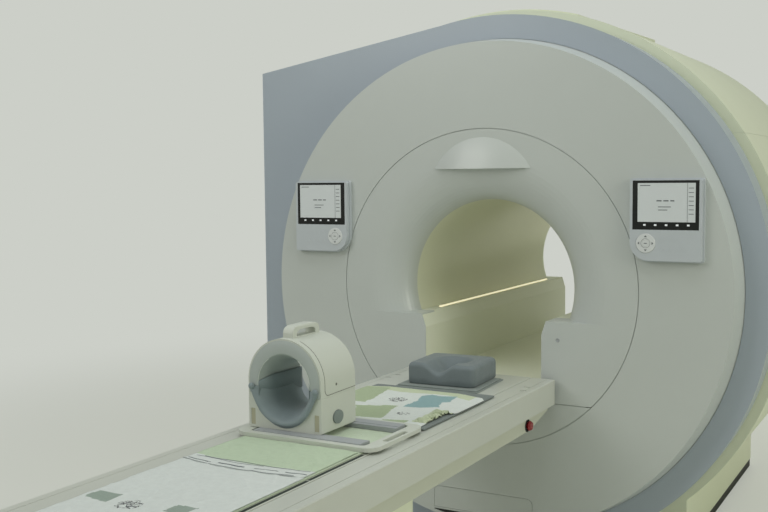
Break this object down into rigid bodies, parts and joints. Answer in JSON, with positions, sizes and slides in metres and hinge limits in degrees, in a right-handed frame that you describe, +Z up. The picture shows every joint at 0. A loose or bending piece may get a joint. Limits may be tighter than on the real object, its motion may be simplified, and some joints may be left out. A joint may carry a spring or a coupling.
{
  "type": "mri scanner",
  "caption": "Magnetic resonance scanner with a round gantry, a domed front cover, two control panels, a height-adjustable patient table with a sliding cradle and a knee coil.",
  "frame": {"origin": "on the floor, under the isocentre of the bore", "axes": "+Y runs into the bore from the table side, +Z up, +X to the right of someone who faces the bore"},
  "size_m": [2.25, 4.123, 2.192],
  "materials": {
    "cover_white": "satin moulded cover",
    "cover_grey": "satin moulded cover",
    "cover_cream": "satin moulded cover",
    "dark_plastic": "matt",
    "light_diffuser": "frosted diffuser",
    "vessel_steel": "brushed",
    "winding_alloy": "natural",
    "epoxy": "cast resin",
    "copper_former": "copper conductors on a resin former",
    "panel_white": "fine satin",
    "screen_glass": "glossy cover glass",
    "painted_steel": "satin paint",
    "frame_aluminium": "natural",
    "red_plastic": "glossy",
    "belt_rubber": "matt",
    "grey_plastic": "fine satin",
    "sheet_fabric": "woven cotton",
    "grey_foam": "skinned foam",
    "coil_white": "fine satin"
  },
  "bodies": {
    "gantry": {"front_cover": "cover_white", "funnel_cover": "cover_white", "lower_front_cover": "cover_white", "access_panel": "cover_white", "kick_plate": "dark_plastic", "surround_panel": "cover_grey", "side_cover_left": "cover_cream", "side_cover_right": "cover_cream", "top_cover": "cover_cream", "top_housing": "cover_cream", "rear_cover": "cover_cream", "rear_funnel": "cover_cream", "plinth": "dark_plastic", "mouth_plate": "cover_white", "bore_liner": "cover_white", "table_bridge": "cover_white", "light_strips": "light_diffuser", "magnet_vessel": "vessel_steel", "cold_mass": "winding_alloy", "gradient_coil": "epoxy", "body_coil": "copper_former", "cold_head": "vessel_steel", "magnet_feet": "vessel_steel", "panel_housings": "panel_white", "panel_screens": "screen_glass", "table_base": "painted_steel", "lift_column_outer": "painted_steel", "pedestal_lower_cover": "cover_cream"},
    "table": {"lift_column_inner": "painted_steel", "pedestal_upper_cover": "cover_cream", "table_frame": "frame_aluminium", "side_rails": "cover_white", "end_caps": "cover_white", "table_skirt": "cover_cream", "drive_belt": "belt_rubber"},
    "cradle": {"cradle": "cover_white", "belt_clamp": "frame_aluminium", "cradle_strips": "grey_plastic", "mattress": "sheet_fabric", "front_sheet": "sheet_fabric", "towel": "sheet_fabric", "draw_sheet": "sheet_fabric", "mat_lower": "grey_foam", "mat_upper": "grey_foam", "head_cushion": "grey_foam", "coil_tray": "coil_white", "coil_rails": "grey_plastic"},
    "coil_lower": {"coil_lower_shell": "coil_white", "coil_lower_pad": "grey_foam"},
    "coil_upper": {"coil_upper_shell": "coil_white", "coil_upper_liner": "grey_plastic"},
    "coil_release": {"coil_release_button": "grey_plastic"},
    "left_estop": {"estop_left": "red_plastic"},
    "right_estop": {"estop_right": "red_plastic"},
    "head_pulley": {"pulley_head": "frame_aluminium"},
    "foot_pulley": {"pulley_foot": "frame_aluminium"},
    "left_pad": {"panel_left_pad": "panel_white"},
    "left_centre": {"panel_left_centre": "panel_white"},
    "right_pad": {"panel_right_pad": "panel_white"},
    "right_centre": {"panel_right_centre": "panel_white"}
  },
  "joints": [
    {"name": "table_lift", "type": "slide", "parent": "gantry", "child": "table", "axis": [0, 0, 1], "range_m": [-0.18, 0.15]},
    {"name": "cradle_slide", "type": "slide", "parent": "table", "child": "cradle", "axis": [0, 1, 0], "range_m": [0, 1.96]},
    {"name": "coil_shift", "type": "slide", "parent": "cradle", "child": "coil_lower", "axis": [1, 0, 0], "range_m": [-0.014, 0.21]},
    {"name": "coil_lift", "type": "slide", "parent": "coil_lower", "child": "coil_upper", "axis": [0, 0, -1], "range_m": [-0.3, 0]},
    {"name": "coil_release_press", "type": "slide", "parent": "coil_lower", "child": "coil_release", "axis": [-1, 0, 0], "range_m": [0, 0.004], "stiffness_N_per_m": 2000},
    {"name": "left_estop_press", "type": "slide", "parent": "table", "child": "left_estop", "axis": [1, 0, 0], "range_m": [0, 0.005]},
    {"name": "right_estop_press", "type": "slide", "parent": "table", "child": "right_estop", "axis": [-1, 0, 0], "range_m": [0, 0.005]},
    {"name": "head_pulley_turn", "type": "hinge", "parent": "table", "child": "head_pulley", "pos_m": [0, -0.943, 0.631], "axis": [-1, 0, 0], "range_deg": [-10, 4660]},
    {"name": "foot_pulley_turn", "type": "hinge", "parent": "table", "child": "foot_pulley", "pos_m": [0, -3.203, 0.631], "axis": [-1, 0, 0], "range_deg": [-10, 4660]},
    {"name": "left_pad_press", "type": "slide", "parent": "gantry", "child": "left_pad", "axis": [0, 1, 0], "range_m": [0, 0.0015], "stiffness_N_per_m": 3000},
    {"name": "left_centre_press", "type": "slide", "parent": "gantry", "child": "left_centre", "axis": [0, 1, 0], "range_m": [0, 0.0015], "stiffness_N_per_m": 2000},
    {"name": "right_pad_press", "type": "slide", "parent": "gantry", "child": "right_pad", "axis": [0, 1, 0], "range_m": [0, 0.0015], "stiffness_N_per_m": 3000},
    {"name": "right_centre_press", "type": "slide", "parent": "gantry", "child": "right_centre", "axis": [0, 1, 0], "range_m": [0, 0.0015], "stiffness_N_per_m": 2000}
  ],
  "couplings": [
    {"joint": "head_pulley_turn", "follows": "cradle_slide", "rad_per_m": 41.152},
    {"joint": "foot_pulley_turn", "follows": "cradle_slide", "rad_per_m": 41.152}
  ]
}
